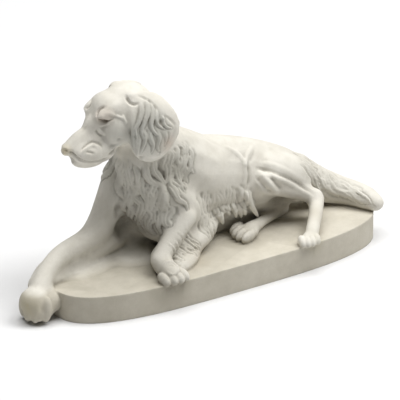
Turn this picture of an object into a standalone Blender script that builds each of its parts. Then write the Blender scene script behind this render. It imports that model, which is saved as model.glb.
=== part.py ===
"""A reclining gun dog, cast in one piece with the long oval plinth that it lies on."""
import math
import random

import bmesh
import bpy
import numpy as np
from mathutils import Matrix, Vector
from mathutils.bvhtree import BVHTree

# Driving sizes, in metres.
DOG_LENGTH = 0.400        # from the hanging forepaw to the tip of the tail
PLINTH_LENGTH = 0.360
PLINTH_WIDTH = 0.130
PLINTH_HEIGHT = 0.0275
PLINTH_EDGE = 0.0008      # the small round on the plinth's arrises

# The dog keeps its pose as shares of its own length: 400 units from end to end.
# Units are counted from the middle of the plinth's top, head toward -X, near side toward -Y.
UNIT = DOG_LENGTH / 400
FRONT_REACH = 180         # units from the dog's own zero to the front end of the plinth
NEAR_REACH = 65           # units from the dog's own zero to the near edge of the plinth
HEAD_MIDDLE = 8           # where the head's own middle plane lies, in units toward the far side
PAW_DROP = PLINTH_HEIGHT / UNIT

# How the clay is worked, in units.
SKIN_VOXEL = 2.0
COAT_VOXEL = 1.4
TRIANGLES = 7900
PLINTH_ROUNDNESS = 3.2    # power of the plinth's oval: 2 is an ellipse, more is squarer
PLINTH_SIDES = 96

CAST_COLOUR = (0.78, 0.75, 0.68, 1.0)
CAST_ROUGHNESS = 0.85


def clear_scene():
    for thing in list(bpy.data.objects):
        bpy.data.objects.remove(thing)


def frozen(thing):
    """The evaluated mesh of an object, which is then removed."""
    depsgraph = bpy.context.evaluated_depsgraph_get()
    mesh = bpy.data.meshes.new_from_object(thing.evaluated_get(depsgraph))
    bpy.data.objects.remove(thing)
    return mesh


def new_object(mesh, name):
    thing = bpy.data.objects.new(name, mesh)
    bpy.context.scene.collection.objects.link(thing)
    return thing


# The clay: closed lumps, limbs and flaps that overlap and are fused later.

def lump(centre, half, aim=(1, 0, 0), segments=36):
    """A stretched ball: its half sizes run along its aim, across and up."""
    bpy.ops.mesh.primitive_uv_sphere_add(segments=segments, ring_count=segments // 2)
    ball = bpy.context.object
    turn = Vector(aim).to_track_quat('X', 'Z').to_matrix().to_4x4()
    ball.data.transform(Matrix.Translation(Vector(centre)) @ turn @ Matrix.Diagonal((*half, 1)))
    return [ball]


def through(points, steps):
    """A smooth run of rows through the given rows (a Catmull-Rom curve)."""
    rows = np.array(points, float)
    rows = np.vstack([2 * rows[0] - rows[1], rows, 2 * rows[-1] - rows[-2]])
    t = np.linspace(0, 1, steps, endpoint=False)[:, None]
    run = []
    for a, b, c, d in zip(rows, rows[1:], rows[2:], rows[3:]):
        bend = (2 * a - 5 * b + 4 * c - d) * t ** 2 + (3 * b - a - 3 * c + d) * t ** 3
        run.append(0.5 * (2 * b + (c - a) * t + bend))
    run.append(rows[-2][None])
    return np.vstack(run)


def limb(stations, steps=6, sides=4):
    """A round tube through (x, y, z, radius) stations, with a ball at each end."""
    rows = through(stations, steps)
    curve = bpy.data.curves.new("limb", 'CURVE')
    curve.dimensions = '3D'
    curve.bevel_depth = 1.0
    curve.bevel_resolution = sides
    curve.use_fill_caps = True
    spline = curve.splines.new('POLY')
    spline.points.add(len(rows) - 1)
    for point, row in zip(spline.points, rows):
        point.co = (*row[:3], 1)
        point.radius = row[3]
    tube = bpy.data.objects.new("limb", curve)
    bpy.context.scene.collection.objects.link(tube)
    pieces = [new_object(frozen(tube), "limb")]
    for row in (rows[0], rows[-1]):
        if row[3] > 2:
            pieces += lump(row[:3], [row[3]] * 3, segments=18)
    return pieces


def flap(rows, thickness):
    """A soft sheet through rows of points, given its thickness both ways."""
    shape = bmesh.new()
    grid = [[shape.verts.new(point) for point in row] for row in rows]
    for low, high in zip(grid, grid[1:]):
        for a, b, c, d in zip(low, low[1:], high[1:], high):
            shape.faces.new((a, b, c, d))
    mesh = bpy.data.meshes.new("flap")
    shape.to_mesh(mesh)
    shape.free()
    sheet = new_object(mesh, "flap")
    soft = sheet.modifiers.new("soft", 'SUBSURF')
    soft.levels = 3
    soft.render_levels = 3
    body = sheet.modifiers.new("body", 'SOLIDIFY')
    body.thickness = thickness
    body.offset = 0
    return [new_object(frozen(sheet), "flap")]


# The masses of the dog, in units.

def trunk():
    """A barrel, narrower than it is deep, from the shoulders to the root of the tail."""
    middle = 20
    narrowness = 0.77
    barrel = limb([(-30, 0, 62, 41), (2, 0, 58, 43), (34, 0, 52, 41), (64, -2, 46, 36.5),
                   (92, -5, 39, 30), (114, -8, 29, 22), (132, -9, 23, 17)], sides=8)
    for piece in barrel:
        piece.data.transform(Matrix.Translation((0, middle, 0)) @ Matrix.Diagonal((1, narrowness, 1, 1)))
    belly = lump((26, 24, 18), (72, 21, 30))
    far_haunch = lump((90, 33, 30), (32, 15, 24), (1, 0, -0.3))
    return barrel + belly + far_haunch


def neck_and_chest():
    clay = limb([(-4, 20, 68, 36), (-34, 15, 90, 33), (-58, 10, 114, 26), (-77, 9, 140, 22)])
    clay += lump((-54, 13, 66), (36, 31, 46), (1, 0, 0.1))
    clay += lump((-76, 8, 96), (18, 22, 32), (1, 0, 0.2))
    clay += lump((-46, 2, 40), (32, 27, 28))
    clay += lump((-62, 30, 26), (44, 15, 40))
    return clay


def head():
    middle = HEAD_MIDDLE
    clay = lump((-89, middle, 156), (32, 23, 24.5), (-1, 0, -0.30))
    clay += lump((-107, middle, 163), (16, 18, 14), (-1, 0, -0.60))
    clay += lump((-102, middle, 140), (21, 17, 20), (-1, 0, -0.30))
    clay += lump((-118, middle, 148), (15, 12, 13), (-1, 0, -0.90))
    clay += lump((-140, middle, 136), (20, 7.5, 8), (-1, 0, -0.62))
    clay += lump((-126, middle, 134), (22, 12, 13), (-1, 0, -0.50))
    clay += lump((-151.5, middle, 131), (6.5, 7.5, 6.5), (-1, 0, -0.30))
    clay += lump((-129, middle, 116.5), (20, 9, 7), (-1, 0, -0.05))
    for side in (-1, 1):
        clay += lump((-114, middle + side * 12, 167), (9, 7, 4.5), (-1, 0, -0.5))
        clay += lump((-101, middle + side * 15, 145), (16, 9, 17), (-1, 0, -0.35))
        clay += lump((-137, middle + side * 7.5, 124), (18, 8.5, 14.5), (-1, 0, -0.35))
        clay += lump((-121, middle + side * 10, 124), (17, 8, 11), (-1, 0, 0.05))
    return clay


def ear(side):
    """The hanging ear: rows run from the root down, points from its front edge back."""
    rows = [
        ((-92, 12, 173), (-76, 12, 176), (-61, 12, 168)),
        ((-95, 19, 166), (-76, 25, 167), (-52, 23, 158)),
        ((-97, 25, 152), (-76, 31, 154), (-45, 28, 145)),
        ((-99, 28, 137), (-77, 34, 138), (-48, 29, 132)),
        ((-97, 29, 124), (-79, 33, 125), (-59, 29, 120)),
        ((-91, 29, 116), (-79, 29, 112), (-67, 28, 114)),
    ]
    placed = [[(x, HEAD_MIDDLE + side * y, z) for x, y, z in row] for row in rows]
    return flap(placed, 11) + lump((-92, HEAD_MIDDLE + side * 12, 173), (6, 5, 5))


def far_foreleg():
    clay = limb([(-70, 25, 86, 21), (-81, 25, 72, 20), (-93, 25, 53, 16.5), (-104, 24, 36, 14.5),
                 (-122, 20, 24, 12.5), (-155, 14, 19, 10.5), (-176, 5, 12, 9.5), (-190, -4, 2, 10)])
    paw_middle = -PAW_DROP * 0.38
    clay += lump((-200, -11, paw_middle + 3), (15, 15, 14))
    clay += lump((-198, -14, paw_middle - 5), (15, 14, 11))
    clay += lump((-184, -11, paw_middle), (12, 13, 12))
    clay += limb([(-92, 22, 20, 15), (-124, 14, 10, 10), (-150, 9, 5, 7), (-172, 2, 2, 7)])
    return clay


def near_foreleg():
    clay = limb([(-50, -6, 66, 20), (-30, -7, 46, 17), (-18, -6, 32, 13)])
    clay += limb([(-20, -5, 33, 12), (-46, -15, 23, 9), (-70, -25, 12, 8.5)])
    clay += limb([(-72, -26, 11, 8.5), (-76, -42, 9, 10), (-76, -56, 6, 9)])
    clay += limb([(0, 2, 20, 13), (-12, -10, 15, 12), (-30, -20, 12, 11), (-52, -28, 7, 8)])
    return clay


def near_hind_leg():
    clay = lump((86, 0, 49), (36, 20, 22), (1, 0, -0.45))
    clay += limb([(86, -4, 46, 16), (70, -7, 53, 14), (58, -8, 52, 11)])
    clay += limb([(60, -8, 50, 11), (83, -11, 38, 9), (114, -18, 24, 7.5)])
    clay += limb([(115, -19, 22, 7), (102, -36, 15, 6), (86, -54, 8, 6.5)])
    clay += lump((80, -59, 5), (9, 8, 6))
    return clay


def far_hind_leg():
    clay = limb([(96, 12, 5, 7), (66, -2, 6, 5.5), (48, -10, 6, 7), (42, -13, 6, 8)])
    clay += lump((38, -15, 5), (11, 10, 7))
    return clay


def tail():
    return limb([(112, 14, 38, 20), (132, 12, 24, 18), (148, 9, 15.5, 16.5), (160, 1, 11.5, 14.5),
                 (168, -11, 10.5, 13), (173, -24, 9.5, 11.5), (175, -34, 8.5, 8.5)])


def toes(first, last, bulge, half, aim):
    """Four toes side by side in a shallow arc from the first to the last."""
    clay = []
    for share in (0, 0.34, 0.67, 1):
        place = Vector(first).lerp(Vector(last), share)
        place += Vector(bulge) * math.sin(math.pi * (0.15 + 0.7 * share))
        clay += lump(place, half, aim, segments=20)
    return clay


def paws():
    """The toes, kept apart from the flesh so that the clefts between them stay open."""
    drop = PAW_DROP * 0.44
    clay = toes((-202, 1, -drop), (-190, -21, -drop), (-13, -8, 0), (PAW_DROP * 0.5, 6.2, 6), (-0.1, 0, -1))
    clay += toes((-87, -57, 5), (-64, -58, 6), (0, -4, 0), (10, 5.2, 6.5), (0.1, -1, -0.25))
    clay += toes((71, -59, 4), (86, -61, 4), (-2, -3, 0), (8, 4.2, 5.5), (-0.3, -1, -0.2))
    clay += toes((34, -4, 6), (34, -25, 5), (-5, 0, 0), (10, 4.2, 6), (-1, -0.3, -0.15))
    return clay


# Fusing and working the surface.

def fused(pieces, name, voxel):
    """One skin over all the pieces."""
    bpy.ops.object.select_all(action='DESELECT')
    for piece in pieces:
        piece.select_set(True)
    bpy.context.view_layer.objects.active = pieces[0]
    bpy.ops.object.join()
    body = bpy.context.object
    skin = body.modifiers.new("skin", 'REMESH')
    skin.mode = 'VOXEL'
    skin.voxel_size = voxel
    return new_object(frozen(body), name)


def vertex_rows(mesh, kind):
    rows = np.empty(len(mesh.vertices) * 3, np.float32)
    mesh.vertices.foreach_get(kind, rows)
    return rows.reshape(-1, 3).astype(float)


def pull_toward_neighbours(places, edges):
    """How far each vertex lies from the mean of its neighbours."""
    count = len(places)
    degree = np.bincount(edges.ravel(), minlength=count)
    pull = np.empty_like(places)
    for axis in range(3):
        ahead = np.bincount(edges[:, 0], places[edges[:, 1], axis], count)
        behind = np.bincount(edges[:, 1], places[edges[:, 0], axis], count)
        pull[:, axis] = (ahead + behind) / degree
    return pull - places


def settled(body, fill, soften):
    """Fill the sharp hollows between the masses, then soften the whole skin."""
    mesh = body.data
    edges = np.empty(len(mesh.edges) * 2, np.int32)
    mesh.edges.foreach_get("vertices", edges)
    edges = edges.reshape(-1, 2)
    for step in range(fill):
        places = vertex_rows(mesh, "co")
        outward = vertex_rows(mesh, "normal")
        pull = pull_toward_neighbours(places, edges)
        rise = np.maximum((pull * outward).sum(axis=1), 0)
        places += 0.6 * rise[:, None] * outward
        mesh.vertices.foreach_set("co", places.ravel())
        mesh.update()
    places = vertex_rows(mesh, "co")
    for step in range(soften):
        places += 0.5 * pull_toward_neighbours(places, edges)
    mesh.vertices.foreach_set("co", places.ravel())
    mesh.update()
    return body


def pressed(body, centre, half, depth):
    """Press a soft oval hollow into the skin; a depth below zero raises it."""
    places = vertex_rows(body.data, "co")
    outward = vertex_rows(body.data, "normal")
    reach = np.linalg.norm((places - centre) / half, axis=1)
    push = depth * np.clip(1 - reach ** 2, 0, 1) ** 2
    places -= push[:, None] * outward
    body.data.vertices.foreach_set("co", places.ravel())
    body.data.update()


def scored(body, path, width, depth):
    """Draw a soft groove along a path that runs close to the skin."""
    places = vertex_rows(body.data, "co")
    outward = vertex_rows(body.data, "normal")
    nearest = np.full(len(places), np.inf)
    for point in through(path, 10):
        nearest = np.minimum(nearest, np.linalg.norm(places - point, axis=1))
    push = depth * np.clip(1 - (nearest / width) ** 2, 0, 1) ** 2
    places -= push[:, None] * outward
    body.data.vertices.foreach_set("co", places.ravel())
    body.data.update()


def with_face(body):
    """The deep-set eyes, nostrils and the line of the mouth."""
    middle = HEAD_MIDDLE
    for side in (-1, 1):
        pressed(body, (-121, middle + side * 15, 162), (7, 7, 5), 3.5)
        pressed(body, (-119, middle + side * 17, 161), (3.5, 5, 2.5), -2.0)
        pressed(body, (-157, middle + side * 4.5, 131), (3, 3, 2.5), 2.0)
        mouth = [(-155, middle + side * 3, 122), (-147, middle + side * 11, 117),
                 (-132, middle + side * 16, 115), (-117, middle + side * 17, 119)]
        scored(body, mouth, 3.5, 2.2)
    return body


def thinned(body, triangles):
    tris = sum(len(face.vertices) - 2 for face in body.data.polygons)
    name = body.name
    fewer = body.modifiers.new("fewer", 'DECIMATE')
    fewer.ratio = min(1, triangles / tris)
    return new_object(frozen(body), name)


# The coat: wavy locks of hair laid on the skin in staggered rows.

def lock(skin, path, width, wave, phase):
    """One wavy lock, thickest a third of the way down and pointed at its tip."""
    steps = 14
    rows = through(path, math.ceil(steps / (len(path) - 1)))
    stations = []
    for index, row in enumerate(rows):
        t = index / (len(rows) - 1)
        place, outward, face, gap = skin.find_nearest(Vector(row))
        ahead = Vector(rows[min(index + 1, len(rows) - 1)] - rows[max(index - 1, 0)])
        aside = outward.cross(ahead).normalized()
        place = place + aside * wave * math.sin(2.6 * math.pi * t + phase)
        place, outward, face, gap = skin.find_nearest(place)
        fullness = min(1, 0.35 + 3 * t) * (1 - t) ** 0.6
        radius = max(width * fullness, 0.25)
        stations.append((*place, radius))
    return limb(stations, steps=1, sides=1)


def locks(skin, corners, rows, columns, length, width, wave, seed):
    """Locks over a patch: corners are root left, root right, tip left and tip right."""
    chance = random.Random(seed)
    root_left, root_right, tip_left, tip_right = [Vector(corner) for corner in corners]

    def place(across, down):
        root = root_left.lerp(root_right, across)
        tip = tip_left.lerp(tip_right, across)
        return root.lerp(tip, down)

    clay = []
    for row in range(rows):
        for column in range(columns):
            across = (column + 0.5 * (row % 2) + chance.uniform(0.1, 0.6)) / (columns + 0.5)
            start = row / rows * (1 - length) + chance.uniform(-0.04, 0.04)
            drift = chance.uniform(-0.06, 0.06)
            reach = length * chance.uniform(0.85, 1.15)
            path = [place(across + drift * t, start + reach * t) for t in (0, 0.5, 1)]
            phase = chance.uniform(-0.5, 0.5)
            clay += lock(skin, path, width * chance.uniform(0.8, 1.2), wave, phase)
    return clay


def far_side(corners, middle):
    """The same patch on the dog's far side."""
    return [(x, 2 * middle - y, z) for x, y, z in corners]


def coat(skin):
    ear_patch = [(-93, -20, 170), (-58, -18, 164), (-94, -28, 117), (-62, -24, 116)]
    ruff_patch = [(-66, -14, 114), (-24, -8, 116), (-54, -25, 60), (-30, -20, 58)]
    chest_patch = [(-95, 10, 106), (-62, -16, 98), (-84, 8, 10), (-48, -26, 22)]
    belly_patch = [(-4, -14, 44), (54, -10, 40), (-6, 0, 6), (54, 5, 4)]
    flank_patch = [(38, -6, 74), (50, -9, 66), (44, 2, 10), (62, 2, 6)]
    thigh_patch = [(60, -12, 68), (66, -16, 60), (112, -10, 34), (118, -14, 28)]
    rump_patch = [(84, -14, 66), (96, 12, 70), (124, -8, 30), (136, 8, 34)]
    tail_patch = [(126, -5, 32), (132, 18, 38), (172, -36, 8), (180, -26, 12)]
    elbow_patch = [(-24, -14, 30), (0, -10, 30), (-48, -40, 4), (-4, -14, 2)]
    forearm_patch = [(-106, 14, 26), (-152, 10, 20), (-104, 2, 1), (-146, 1, 1)]
    clay = []
    for corners in (ear_patch, far_side(ear_patch, HEAD_MIDDLE)):
        clay += locks(skin, corners, 2, 5, 0.62, 3.0, 2.2, seed=1)
    for corners in (ruff_patch, far_side(ruff_patch, 10)):
        clay += locks(skin, corners, 3, 5, 0.42, 4.2, 1.8, seed=2)
    for corners in (belly_patch, far_side(belly_patch, 20)):
        clay += locks(skin, corners, 2, 8, 0.62, 4.2, 1.2, seed=4)
    clay += locks(skin, chest_patch, 4, 6, 0.38, 4.4, 2.4, seed=3)
    clay += locks(skin, flank_patch, 1, 3, 0.95, 4.0, 1.4, seed=5)
    clay += locks(skin, thigh_patch, 1, 2, 0.95, 3.0, 0.8, seed=6)
    clay += locks(skin, rump_patch, 3, 4, 0.42, 2.8, 1.2, seed=7)
    clay += locks(skin, tail_patch, 3, 4, 0.42, 3.4, 1.4, seed=8)
    clay += locks(skin, elbow_patch, 1, 6, 0.90, 2.8, 0.8, seed=9)
    clay += locks(skin, forearm_patch, 1, 7, 0.90, 2.4, 0.6, seed=10)
    return clay


def coated(flesh):
    """The flesh with its locks fused on."""
    skin = BVHTree.FromObject(flesh, bpy.context.evaluated_depsgraph_get())
    body = fused([flesh] + coat(skin) + paws(), "dog", COAT_VOXEL)
    return with_face(settled(body, fill=0, soften=1))


# The plinth and the finished casting.

def oval(half_length, half_width, sides):
    """Points of a rounded oval, squarer than an ellipse."""
    points = []
    for index in range(sides):
        angle = 2 * math.pi * index / sides
        along = math.cos(angle)
        across = math.sin(angle)
        x = half_length * math.copysign(abs(along) ** (2 / PLINTH_ROUNDNESS), along)
        y = half_width * math.copysign(abs(across) ** (2 / PLINTH_ROUNDNESS), across)
        points.append((x, y))
    return points


def plinth():
    curve = bpy.data.curves.new("plinth", 'CURVE')
    curve.dimensions = '2D'
    curve.fill_mode = 'BOTH'
    curve.extrude = PLINTH_HEIGHT / 2 - PLINTH_EDGE
    curve.bevel_depth = PLINTH_EDGE
    curve.bevel_resolution = 1
    curve.offset = -PLINTH_EDGE
    outline = oval(PLINTH_LENGTH / 2, PLINTH_WIDTH / 2, PLINTH_SIDES)
    spline = curve.splines.new('POLY')
    spline.points.add(len(outline) - 1)
    for point, (x, y) in zip(spline.points, outline):
        point.co = (x, y, 0, 1)
    spline.use_cyclic_u = True
    slab = bpy.data.objects.new("plinth", curve)
    bpy.context.scene.collection.objects.link(slab)
    mesh = frozen(slab)
    mesh.transform(Matrix.Translation((0, 0, PLINTH_HEIGHT / 2)))
    shape = bmesh.new()
    shape.from_mesh(mesh)
    bmesh.ops.remove_doubles(shape, verts=shape.verts, dist=0.00001)
    shape.to_mesh(mesh)
    shape.free()
    return new_object(mesh, "plinth")


def plaster():
    material = bpy.data.materials.new("cream_plaster")
    material.use_nodes = True
    shader = material.node_tree.nodes["Principled BSDF"]
    shader.inputs["Base Color"].default_value = CAST_COLOUR
    shader.inputs["Roughness"].default_value = CAST_ROUGHNESS
    shader.inputs["Metallic"].default_value = 0.0
    return material


def dog():
    clay = trunk() + neck_and_chest() + head() + ear(-1) + ear(1)
    clay += far_foreleg() + near_foreleg() + near_hind_leg() + far_hind_leg() + tail()
    flesh = settled(fused(clay, "flesh", SKIN_VOXEL), fill=14, soften=4)
    return coated(flesh)


def casting():
    body = thinned(dog(), TRIANGLES)
    zero = (FRONT_REACH * UNIT - PLINTH_LENGTH / 2, NEAR_REACH * UNIT - PLINTH_WIDTH / 2, PLINTH_HEIGHT)
    body.data.transform(Matrix.Translation(zero) @ Matrix.Scale(UNIT, 4))
    slab = plinth()
    joined = slab.modifiers.new("joined", 'BOOLEAN')
    joined.operation = 'UNION'
    joined.solver = 'EXACT'
    joined.object = body
    mesh = frozen(slab)
    bpy.data.objects.remove(body)
    mesh.materials.clear()
    mesh.materials.append(plaster())
    return mesh


clear_scene()
sculpture = bpy.data.collections.new("dog_sculpture")
bpy.context.scene.collection.children.link(sculpture)
sculpture.objects.link(bpy.data.objects.new("dog_on_plinth", casting()))
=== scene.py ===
"""A reclining gun dog cast in cream plaster, in one piece with its long oval plinth."""
import math
import random

import bmesh
import bpy
import numpy as np
from mathutils import Matrix, Vector
from mathutils.bvhtree import BVHTree


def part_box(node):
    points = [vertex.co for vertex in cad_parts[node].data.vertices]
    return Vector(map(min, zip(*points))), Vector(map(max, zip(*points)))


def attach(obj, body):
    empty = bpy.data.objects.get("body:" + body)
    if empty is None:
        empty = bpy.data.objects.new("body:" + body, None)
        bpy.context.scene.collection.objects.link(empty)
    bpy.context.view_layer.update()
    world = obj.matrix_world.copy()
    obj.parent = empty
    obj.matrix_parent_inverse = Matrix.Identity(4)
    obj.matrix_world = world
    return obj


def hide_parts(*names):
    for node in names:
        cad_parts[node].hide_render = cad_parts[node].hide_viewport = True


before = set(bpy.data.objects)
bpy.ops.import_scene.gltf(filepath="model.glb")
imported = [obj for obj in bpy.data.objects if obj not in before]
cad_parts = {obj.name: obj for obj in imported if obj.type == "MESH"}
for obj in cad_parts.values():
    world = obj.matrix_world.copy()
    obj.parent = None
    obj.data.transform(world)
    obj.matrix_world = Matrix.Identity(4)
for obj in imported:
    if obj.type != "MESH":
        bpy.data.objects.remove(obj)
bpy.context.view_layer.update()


# The camera stands well back and a little above, looking along the dog from its nose end.
# The long lens keeps the plinth's sides almost parallel.
VIEW_AZIMUTH = math.radians(-33)
VIEW_HEIGHT = math.radians(25)
VIEW_DISTANCE = 4.0             # metres
PICTURE_SIDE = 400              # pixels
PICTURE_SCALE = 1036            # pixels to a metre at the plinth
PLINTH_IN_PICTURE = (207, 240)  # the pixel of the middle of the plinth's top
PLINTH_HEIGHT = 0.0275          # metres
SENSOR = 36                     # millimetres

across_view = Vector((math.cos(VIEW_AZIMUTH), math.sin(VIEW_AZIMUTH), 0))
back_from_view = Vector((math.sin(VIEW_AZIMUTH) * math.cos(VIEW_HEIGHT),
                         -math.cos(VIEW_AZIMUTH) * math.cos(VIEW_HEIGHT),
                         math.sin(VIEW_HEIGHT)))
up_view = back_from_view.cross(across_view)
right_shift = (PICTURE_SIDE / 2 - PLINTH_IN_PICTURE[0]) / PICTURE_SCALE
up_shift = (PLINTH_IN_PICTURE[1] - PICTURE_SIDE / 2) / PICTURE_SCALE
looked_at = Vector((0, 0, PLINTH_HEIGHT)) + across_view * right_shift + up_view * up_shift

camera = bpy.data.objects.new("camera", bpy.data.cameras.new("camera"))
bpy.context.scene.collection.objects.link(camera)
camera.location = looked_at + back_from_view * VIEW_DISTANCE
camera.rotation_euler = (-back_from_view).to_track_quat('-Z', 'Y').to_euler()
camera.data.sensor_width = SENSOR
camera.data.lens = SENSOR * VIEW_DISTANCE * PICTURE_SCALE / PICTURE_SIDE
camera.data.clip_start = 0.1
camera.data.clip_end = 60
bpy.context.scene.camera = camera


# The plinth is a flat slab of plaster, a long oval with squarish ends, poured with the dog.
# It is the first shape, and the dog's own measure is laid out over its top.
PLINTH_LENGTH = 0.360           # metres
PLINTH_WIDTH = 0.130
PLINTH_ROUNDNESS = 3.2          # power of the oval: 2 is an ellipse, more is squarer
PLINTH_SIDES = 160
DOG_UNITS = 400                 # the dog is measured in 400 units from paw to tail tip

node_low, node_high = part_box("dog_on_plinth")
UNIT = (node_high.x - node_low.x) / DOG_UNITS


def new_object(mesh, name):
    thing = bpy.data.objects.new(name, mesh)
    bpy.context.scene.collection.objects.link(thing)
    return thing


def frozen(thing):
    """The evaluated mesh of an object, which is then removed."""
    depsgraph = bpy.context.evaluated_depsgraph_get()
    mesh = bpy.data.meshes.new_from_object(thing.evaluated_get(depsgraph))
    bpy.data.objects.remove(thing)
    return mesh


def oval_slab():
    """The plinth in the dog's units, its top at zero height."""
    curve = bpy.data.curves.new("plinth", 'CURVE')
    curve.dimensions = '2D'
    curve.fill_mode = 'BOTH'
    curve.extrude = PLINTH_HEIGHT / UNIT / 2
    spline = curve.splines.new('POLY')
    spline.points.add(PLINTH_SIDES - 1)
    for index, point in enumerate(spline.points):
        angle = 2 * math.pi * index / PLINTH_SIDES
        along = math.cos(angle)
        across = math.sin(angle)
        x = math.copysign(abs(along) ** (2 / PLINTH_ROUNDNESS), along) * PLINTH_LENGTH / UNIT / 2
        y = math.copysign(abs(across) ** (2 / PLINTH_ROUNDNESS), across) * PLINTH_WIDTH / UNIT / 2
        point.co = (x, y, 0, 1)
    spline.use_cyclic_u = True
    mesh = frozen(new_object(curve, "plinth"))
    mesh.transform(Matrix.Translation((0, 0, -PLINTH_HEIGHT / UNIT / 2)))
    return new_object(mesh, "plinth")


slab = oval_slab()


# The trunk is a deep narrow barrel from the shoulders to the root of the tail.
# It is modelled from balls and tapering tubes of clay that are run together later.
def lump(centre, half, aim=(1, 0, 0), segments=36):
    """A stretched ball: its half sizes run along its aim, across and up."""
    bpy.ops.mesh.primitive_uv_sphere_add(segments=segments, ring_count=segments // 2)
    ball = bpy.context.object
    turn = Vector(aim).to_track_quat('X', 'Z').to_matrix().to_4x4()
    ball.data.transform(Matrix.Translation(Vector(centre)) @ turn @ Matrix.Diagonal((*half, 1)))
    return [ball]


def through(points, steps):
    """A smooth run of rows through the given rows (a Catmull-Rom curve)."""
    rows = np.array(points, float)
    rows = np.vstack([2 * rows[0] - rows[1], rows, 2 * rows[-1] - rows[-2]])
    t = np.linspace(0, 1, steps, endpoint=False)[:, None]
    run = []
    for a, b, c, d in zip(rows, rows[1:], rows[2:], rows[3:]):
        bend = (2 * a - 5 * b + 4 * c - d) * t ** 2 + (3 * b - a - 3 * c + d) * t ** 3
        run.append(0.5 * (2 * b + (c - a) * t + bend))
    run.append(rows[-2][None])
    return np.vstack(run)


def tubes(runs, sides):
    """Round tubes through runs of (x, y, z, radius) stations, all in one object."""
    curve = bpy.data.curves.new("tubes", 'CURVE')
    curve.dimensions = '3D'
    curve.bevel_depth = 1.0
    curve.bevel_resolution = sides
    curve.use_fill_caps = True
    for run in runs:
        spline = curve.splines.new('POLY')
        spline.points.add(len(run) - 1)
        for point, station in zip(spline.points, run):
            point.co = (*station[:3], 1)
            point.radius = station[3]
    return [new_object(frozen(new_object(curve, "tubes")), "tubes")]


def limb(stations, steps=6, sides=4):
    """One tapering tube with a ball at each end."""
    rows = through(stations, steps)
    clay = tubes([rows], sides)
    for row in (rows[0], rows[-1]):
        clay += lump(row[:3], [row[3]] * 3, segments=18)
    return clay


TRUNK_MIDDLE = 20
TRUNK_NARROWNESS = 0.77         # the barrel's width as a share of its depth
trunk = limb([(-30, 0, 62, 41), (2, 0, 58, 43), (34, 0, 52, 41), (64, -2, 46, 36.5),
              (92, -5, 39, 30), (114, -8, 29, 22), (132, -9, 23, 17)], sides=8)
narrowed = Matrix.Diagonal((1, TRUNK_NARROWNESS, 1, 1))
for piece in trunk:
    piece.data.transform(Matrix.Translation((0, TRUNK_MIDDLE, 0)) @ narrowed)
trunk += lump((26, 24, 18), (72, 21, 30))
trunk += lump((90, 33, 30), (32, 15, 24), (1, 0, -0.3))


# The neck rises forward out of the shoulders into a deep chest.
# Both are solid masses that the long coat will hang from.
neck = limb([(-4, 20, 68, 36), (-34, 15, 90, 33), (-58, 10, 114, 26), (-77, 9, 140, 22)])
neck += lump((-54, 13, 66), (36, 31, 46), (1, 0, 0.1))
neck += lump((-76, 8, 96), (18, 22, 32), (1, 0, 0.2))
neck += lump((-46, 2, 40), (32, 27, 28))
neck += lump((-62, 30, 26), (44, 15, 40))


# The head is held high and level, with a domed skull, a square muzzle and deep flews.
# Everything on it stands in pairs on both sides of its middle plane.
HEAD_MIDDLE = 8
head = lump((-90, HEAD_MIDDLE, 156), (32, 23, 25), (-1, 0, -0.30))
head += lump((-107, HEAD_MIDDLE, 163), (16, 18, 14), (-1, 0, -0.60))
head += lump((-102, HEAD_MIDDLE, 140), (21, 17, 20), (-1, 0, -0.30))
head += lump((-118, HEAD_MIDDLE, 148), (15, 12, 13), (-1, 0, -0.90))
head += lump((-140, HEAD_MIDDLE, 136), (20, 7.5, 8), (-1, 0, -0.62))
head += lump((-126, HEAD_MIDDLE, 134), (22, 12, 13), (-1, 0, -0.50))
head += lump((-151.5, HEAD_MIDDLE, 131), (6.5, 7, 5.5), (-1, 0, -0.30))
head += lump((-128, HEAD_MIDDLE, 114), (19, 8.5, 8), (-1, 0, 0.10))
for side in (-1, 1):
    head += lump((-117, HEAD_MIDDLE + side * 11, 161.5), (10, 6.5, 6), (-1, 0, -0.5))
    head += lump((-109, HEAD_MIDDLE + side * 9, 167), (13, 9, 6), (-1, 0, -0.5))
    head += lump((-101, HEAD_MIDDLE + side * 15, 145), (16, 9, 17), (-1, 0, -0.35))
    head += lump((-132, HEAD_MIDDLE + side * 7.5, 125), (18, 8.5, 11), (-1, 0, 0.12))
    head += lump((-121, HEAD_MIDDLE + side * 10, 124), (17, 8, 11), (-1, 0, 0.05))


# The ears hang from the back of the skull as soft thick flaps.
# Rows run from the root down, and points in a row from its front edge back.
EAR_THICKNESS = 11
EAR_SMOOTHING = 3
EAR_ROWS = [
    ((-92, 12, 173), (-76, 12, 176), (-61, 12, 168)),
    ((-95, 19, 166), (-76, 25, 167), (-52, 23, 158)),
    ((-97, 25, 152), (-76, 31, 154), (-45, 28, 145)),
    ((-99, 28, 137), (-77, 34, 138), (-48, 29, 132)),
    ((-97, 29, 124), (-79, 33, 125), (-59, 29, 120)),
    ((-91, 29, 116), (-79, 29, 112), (-67, 28, 114)),
]


def flap(side):
    """A hanging ear on one side of the head, a smooth sheet with a thickness."""
    places = [(x, HEAD_MIDDLE + side * y, z) for row in EAR_ROWS for x, y, z in row]
    width = len(EAR_ROWS[0])
    faces = []
    for row in range(len(EAR_ROWS) - 1):
        for column in range(width - 1):
            corner = row * width + column
            faces.append((corner, corner + 1, corner + width + 1, corner + width))
    mesh = bpy.data.meshes.new("ear")
    mesh.from_pydata(places, [], faces)
    sheet = new_object(mesh, "ear")
    soft = sheet.modifiers.new("soft", 'SUBSURF')
    soft.levels = EAR_SMOOTHING
    soft.render_levels = EAR_SMOOTHING
    body = sheet.modifiers.new("body", 'SOLIDIFY')
    body.thickness = EAR_THICKNESS
    body.offset = 0
    return [new_object(frozen(sheet), "ear")]


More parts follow.
